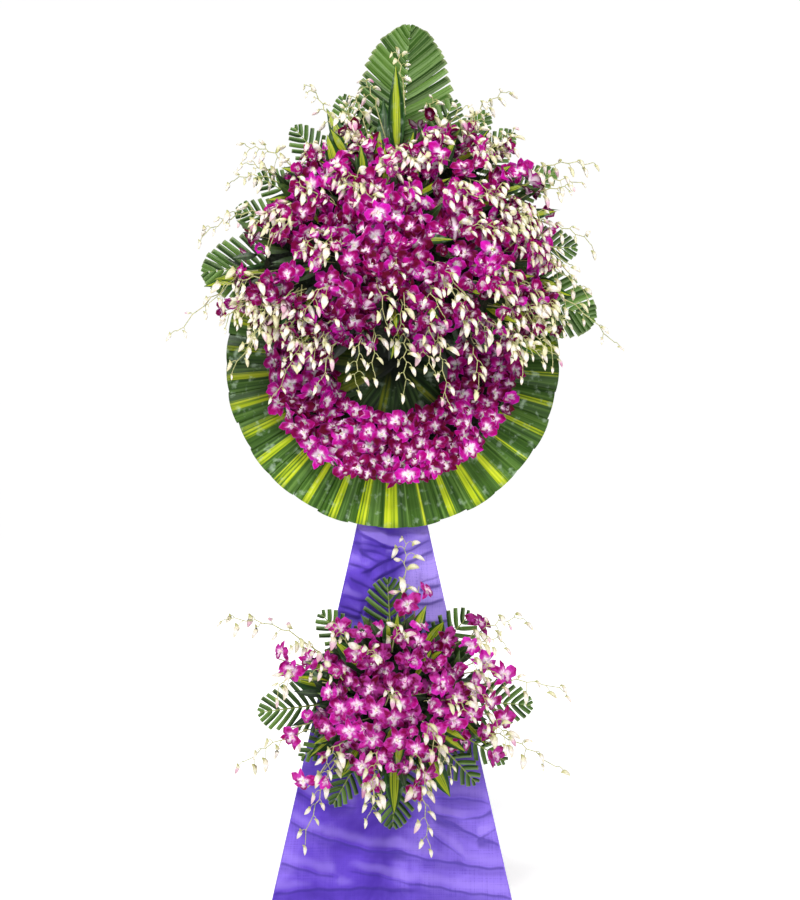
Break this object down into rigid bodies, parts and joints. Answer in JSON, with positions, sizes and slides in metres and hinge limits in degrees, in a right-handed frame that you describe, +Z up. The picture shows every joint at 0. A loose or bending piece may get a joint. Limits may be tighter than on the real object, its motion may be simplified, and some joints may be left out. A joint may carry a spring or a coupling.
{
  "type": "standing funeral wreath",
  "caption": "Free-standing two-tier funeral wreath of orchid sprays, palm fronds and striped leaves on a cloth-wrapped tripod easel, with a round leaf fan and a ring of blooms.",
  "frame": {"origin": "on the floor, under the middle of the whole object's box", "axes": "+Z up, the flowers face -Y, the rear leg stands towards +Y, +X to the viewer's right"},
  "size_m": [1.0234, 0.7866, 2.1298],
  "materials": {
    "easel_wood": "matte",
    "violet_cloth": "matte",
    "board": "matte",
    "foam": "matte",
    "tray": "satin",
    "frond": "satin",
    "striped_leaf": "satin",
    "orchid": "matte"
  },
  "bodies": {
    "root": {"leg_left": "easel_wood", "leg_right": "easel_wood", "leg_back": "easel_wood", "crossbar_low": "easel_wood", "crossbar_mid": "easel_wood", "crossbar_top": "easel_wood", "stretcher": "easel_wood", "skirt_cloth": "violet_cloth", "neck_cloth": "violet_cloth", "backing_board": "board", "fan_leaves_1": "striped_leaf", "fan_leaves_2": "striped_leaf", "fan_leaves_3": "striped_leaf", "fan_leaves_4": "striped_leaf", "ring_foam": "foam", "ring_blooms_1": "orchid", "ring_blooms_2": "orchid", "ring_blooms_3": "orchid", "ring_blooms_4": "orchid", "upper_foam": "foam", "lower_foam": "foam", "lower_tray": "tray", "upper_orchid_head": "orchid", "lower_orchid_head": "orchid", "upper_frond_1": "frond", "upper_frond_2": "frond", "upper_frond_3": "frond", "upper_frond_4": "frond", "upper_frond_5": "frond", "upper_frond_6": "frond", "upper_frond_7": "frond", "upper_frond_8": "frond", "upper_frond_9": "frond", "upper_frond_10": "frond", "upper_frond_11": "frond", "upper_frond_12": "frond", "lower_frond_1": "frond", "lower_frond_2": "frond", "lower_frond_3": "frond", "lower_frond_4": "frond", "lower_frond_5": "frond", "lower_frond_6": "frond", "lower_frond_7": "frond", "lower_frond_8": "frond", "lower_frond_9": "frond", "lower_frond_10": "frond", "upper_leaf_1": "striped_leaf", "upper_leaf_2": "striped_leaf", "upper_leaf_3": "striped_leaf", "upper_leaf_4": "striped_leaf", "upper_leaf_5": "striped_leaf", "upper_leaf_6": "striped_leaf", "upper_leaf_7": "striped_leaf", "upper_leaf_8": "striped_leaf", "lower_leaf_1": "striped_leaf", "lower_leaf_2": "striped_leaf", "lower_leaf_3": "striped_leaf", "lower_leaf_4": "striped_leaf", "lower_leaf_5": "striped_leaf", "lower_leaf_6": "striped_leaf"}
  },
  "joints": []
}
